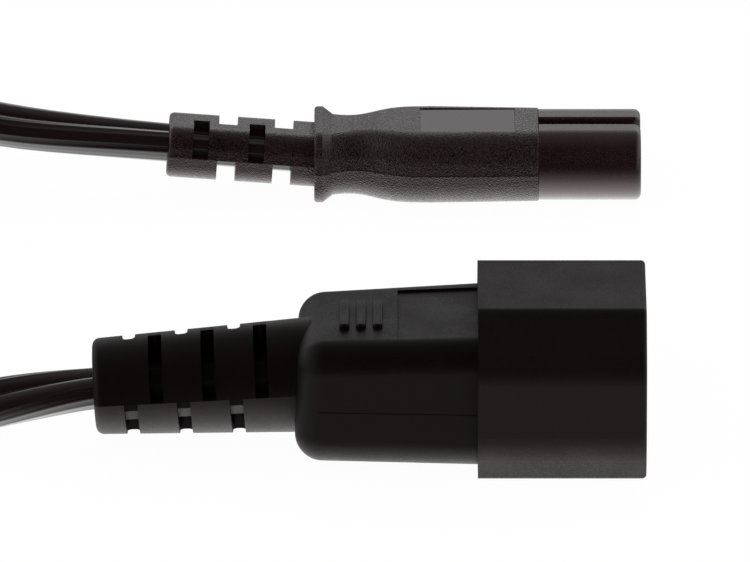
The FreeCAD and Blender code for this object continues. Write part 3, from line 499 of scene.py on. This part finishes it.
def settled_mesh(item):
    """The item's mesh with its modifiers worked in."""
    bpy.context.view_layer.update()
    shaped = item.evaluated_get(bpy.context.evaluated_depsgraph_get())
    return bpy.data.meshes.new_from_object(shaped)


def add_plug_body(material):
    """The plug's moulding as a new piece, with its pockets cut and filled."""
    form = bmesh.new()
    form.from_mesh(nodes["plug_overmould"].data)
    bmesh.ops.remove_doubles(form, verts=form.verts, dist=WELD * MM)
    body = mesh_object("plug_body", form)
    cutter = mesh_object("pocket_cutter", pocket_cutter())
    cut = body.modifiers.new("pockets", "BOOLEAN")
    cut.operation = "DIFFERENCE"
    cut.solver = "EXACT"
    cut.use_hole_tolerant = True
    cut.object = cutter
    carved = settled_mesh(body)
    body.modifiers.clear()
    bpy.data.objects.remove(cutter)
    form = bmesh.new()
    form.from_mesh(carved)
    add_webs(form)
    for face in form.faces:
        face.smooth = True
    for edge in form.edges:
        bend = edge.calc_face_angle(math.pi)
        parting = all(abs(relief_height(vertex.co)) < PARTING_NEAR for vertex in edge.verts)
        edge.smooth = bend < math.radians(SHARP_DEGREES) and not parting
    form.to_mesh(carved)
    form.free()
    body.data = carved
    even = body.modifiers.new("even_shading", "WEIGHTED_NORMAL")
    even.keep_sharp = True
    carved.materials.clear()
    carved.materials.append(material)
    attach(body, "root")
    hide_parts("plug_overmould")
    return body


# Materials
def new_material(name):
    material = bpy.data.materials.new(name)
    tree = fresh_tree(material)
    shader = add_node(tree, "ShaderNodeBsdfPrincipled")
    add_node(tree, "ShaderNodeOutputMaterial", {"Surface": shader.outputs[0]})
    return material, tree, shader


def places_in_mm(tree):
    """Coordinates on the object, in millimetres."""
    where = add_node(tree, "ShaderNodeTexCoord").outputs["Object"]
    scaled = add_node(tree, "ShaderNodeVectorMath", {0: where, "Scale": 1.0 / MM}, operation="SCALE")
    return scaled.outputs[0]


def noise(tree, where, scale, detail=3.0, roughness=0.5):
    settings = {"Vector": where, "Scale": scale, "Detail": detail, "Roughness": roughness}
    return add_node(tree, "ShaderNodeTexNoise", settings).outputs["Fac"]


def put_bump(tree, shader, height, depth):
    settings = {"Height": height, "Distance": depth * MM, "Strength": 1.0}
    bump = add_node(tree, "ShaderNodeBump", settings)
    tree.links.new(bump.outputs[0], shader.inputs["Normal"])


def inside(tree, where, low, high):
    """1 inside a box in object millimetres and 0 outside it."""
    above = calc_vector(tree, "SUBTRACT", where, low)
    below = calc_vector(tree, "SUBTRACT", high, where)
    least = calc_vector(tree, "MINIMUM", above, below)
    parts = add_node(tree, "ShaderNodeSeparateXYZ", {0: least}).outputs
    nearest = calc(tree, "MINIMUM", calc(tree, "MINIMUM", parts["X"], parts["Y"]), parts["Z"])
    return calc(tree, "GREATER_THAN", nearest, 0.0)


def black_plastic(name, shade, rough, grain, level=0.5, panel=None, seam=None, speck_and_glint=1.35):
    """Moulded black plastic: a fine spark-eroded grain, with the gloss and shade a little uneven.

    rough is the least and the most roughness, grain its scale and depth, and panel the low and high
    corner of a plain field with its roughness. seam is the front, back and height of the parting line and
    the step there, and the last argument how many times lighter than the shade the grain's lightest points
    are:
    a small ratio is a little random tone, a large one paints the grain's glints into the colour as painted
    highlights.
    """
    material, tree, shader = new_material(name)
    where = places_in_mm(tree)
    clouds = noise(tree, where, CLOUD_SCALE)
    pits = noise(tree, calc_vector(tree, "MULTIPLY", where, GRAIN_STRETCH), grain[0], detail=0.0)
    if seam:
        front, back, height, step = seam
        places = add_node(tree, "ShaderNodeSeparateXYZ", {0: where}).outputs
        share = ease(tree, places["X"], back - RELIEF_FADE, back, RELIEF_GRAIN, 1.0)
        pits = calc(tree, "ADD", calc(tree, "MULTIPLY", calc(tree, "SUBTRACT", pits, 0.5), share), 0.5)
    # The grain's lightest points: a little random tone, and with a large ratio painted highlights standing
    # in for the grain's glints
    light = tuple(speck_and_glint * part for part in shade)
    tone_and_glint_spots = ease(tree, calc(tree, "ADD", pits, calc(tree, "MULTIPLY", clouds, CLOUD_SHARE)), *SPOT_SPAN)
    colour = mix_colour(tree, tone_and_glint_spots, (*shade, 1.0), (*light, 1.0))
    tree.links.new(colour, shader.inputs["Base Color"])
    dullness = ease(tree, calc(tree, "ADD", clouds, pits), *DULL_SPAN, *rough)
    relief = calc(tree, "MULTIPLY", pits, grain[1])
    if panel:
        low, high, smoothness = panel
        field = inside(tree, where, low, high)
        plain = calc(tree, "SUBTRACT", 1.0, field)
        relief = calc(tree, "MULTIPLY", relief, plain)
        dullness = calc(tree, "ADD", calc(tree, "MULTIPLY", dullness, plain),
                        calc(tree, "MULTIPLY", field, smoothness))
    if seam:
        lower = ease(tree, places["Z"], height + SEAM_HALF, height - SEAM_HALF, 0.0, step)
        along = calc(tree, "MULTIPLY", calc(tree, "GREATER_THAN", places["X"], back),
                     calc(tree, "LESS_THAN", places["X"], front))
        relief = calc(tree, "ADD", relief, calc(tree, "MULTIPLY", lower, along))
    tree.links.new(dullness, shader.inputs["Roughness"])
    shader.inputs["Specular IOR Level"].default_value = level
    shader.inputs["Specular Tint"].default_value = GLOSS_TINT
    put_bump(tree, shader, relief, 1.0)
    return material


def cord_sheath():
    """Glossy sheath with faint drawing lines along its length."""
    material, tree, shader = new_material("cord_sheath")
    marks = add_node(tree, "ShaderNodeUVMap", uv_map="lengthwise").outputs[0]
    parts = add_node(tree, "ShaderNodeSeparateXYZ", {0: marks})
    around = calc(tree, "MULTIPLY", parts.outputs["X"], SHEATH_LINES[0])
    along = calc(tree, "MULTIPLY", parts.outputs["Y"], SHEATH_LINES[1])
    drawn = add_node(tree, "ShaderNodeCombineXYZ", {0: around, 1: along}).outputs[0]
    lines = noise(tree, drawn, 1.0, roughness=0.6)
    colour = mix_colour(tree, lines, (*SHEATH_DARK, 1.0), (*SHEATH_LIGHT, 1.0))
    tree.links.new(colour, shader.inputs["Base Color"])
    tree.links.new(ease(tree, lines, *NOISE_SPAN, *SHEATH_ROUGH), shader.inputs["Roughness"])
    shader.inputs["Specular IOR Level"].default_value = SHEATH_LEVEL
    put_bump(tree, shader, lines, SHEATH_DEPTH)
    return material


def metal(name, colour, dull, rough, scale):
    """Drawn and plated metal with faint scratches and duller patches."""
    material, tree, shader = new_material(name)
    where = places_in_mm(tree)
    stretched = calc_vector(tree, "MULTIPLY", where, SCRATCH_STRETCH)
    lines = noise(tree, stretched, scale, detail=4.0, roughness=0.6)
    patches = ease(tree, noise(tree, where, PATCH_SCALE), *PATCH_SPAN)
    tree.links.new(mix_colour(tree, patches, (*colour, 1.0), (*dull, 1.0)), shader.inputs["Base Color"])
    tree.links.new(ease(tree, lines, *NOISE_SPAN, *rough), shader.inputs["Roughness"])
    shader.inputs["Metallic"].default_value = 1.0
    put_bump(tree, shader, lines, SCRATCH_DEPTH)
    return material


def insulation(name, colour, light):
    material, tree, shader = new_material(name)
    clouds = noise(tree, places_in_mm(tree), CORE_SCALE)
    tree.links.new(mix_colour(tree, clouds, (*colour, 1.0), (*light, 1.0)), shader.inputs["Base Color"])
    tree.links.new(ease(tree, clouds, *NOISE_SPAN, *CORE_ROUGH), shader.inputs["Roughness"])
    put_bump(tree, shader, clouds, CORE_DEPTH)
    return material


def dress(material, *names):
    for name in names:
        slots = nodes[name].data.materials
        slots.clear()
        slots.append(material)


def dress_nodes():
    """Give every node its material, and return the piece that stands for the plug's moulding."""
    label = ((2.05, -4.15, 8.5), (13.35, 4.15, 8.75), 0.12)
    # The grip's large ratio of 5 paints the grain's glints into its colour as painted highlights, over a
    # little random tone
    grip = black_plastic("grip_moulding", shade=(0.0024, 0.0009, 0.0011), rough=(0.12, 0.34),
                         grain=(6.0, 0.1), level=0.36, panel=label,
                         seam=(16.3, -10.8, 4.4, 0.09), speck_and_glint=5.0)
    dress(grip, "connector_overmould")
    nose = black_plastic("nose_plastic", shade=(0.0078, 0.003, 0.0034), rough=(0.22, 0.3),
                         grain=(5.0, 0.004))
    dress(nose, "connector_nose")
    plug = black_plastic("plug_moulding", shade=(0.0014, 0.0006, 0.0005), rough=(0.46, 0.56),
                         grain=(4.0, 0.008), level=0.155, seam=(8.4, -10.0, 8.1, 0.035))
    plug_body = add_plug_body(plug)
    hood = black_plastic("hood_plastic", shade=(0.002, 0.0009, 0.001), rough=(0.52, 0.62),
                         grain=(4.0, 0.008), level=0.22)
    dress(hood, "plug_hood")
    tie = black_plastic("tie_plastic", shade=(0.012, 0.012, 0.012), rough=(0.4, 0.55),
                        grain=(6.0, 0.03))
    dress(tie, "coil_tie")
    contact = metal("contact_metal", colour=(0.72, 0.6, 0.36), dull=(0.55, 0.44, 0.26),
                    rough=(0.22, 0.38), scale=5.0)
    dress(contact, "contact_line", "contact_neutral")
    strand = metal("strand_metal", colour=(0.72, 0.42, 0.28), dull=(0.55, 0.3, 0.2),
                   rough=(0.25, 0.4), scale=7.0)
    dress(strand, "connector_strands_line", "connector_strands_neutral",
          "plug_strands_line", "plug_strands_neutral")
    pin = metal("pin_metal", colour=(0.74, 0.73, 0.7), dull=(0.6, 0.59, 0.57),
                rough=(0.16, 0.3), scale=5.0)
    dress(pin, "pin_line", "pin_neutral", "pin_earth")
    brown = insulation("core_line", colour=(0.22, 0.1, 0.05), light=(0.27, 0.13, 0.07))
    dress(brown, "connector_core_line", "plug_core_line")
    blue = insulation("core_neutral", colour=(0.05, 0.16, 0.42), light=(0.07, 0.2, 0.5))
    dress(blue, "connector_core_neutral", "plug_core_neutral")
    return plug_body


scene.view_settings.view_transform = "Standard"
add_camera()
add_world()
add_floor()
add_lamp("top_lamp", *TOP_LAMP)
add_lamp("front_lamp", *FRONT_LAMP)
add_cord(cord_sheath(), dress_nodes())
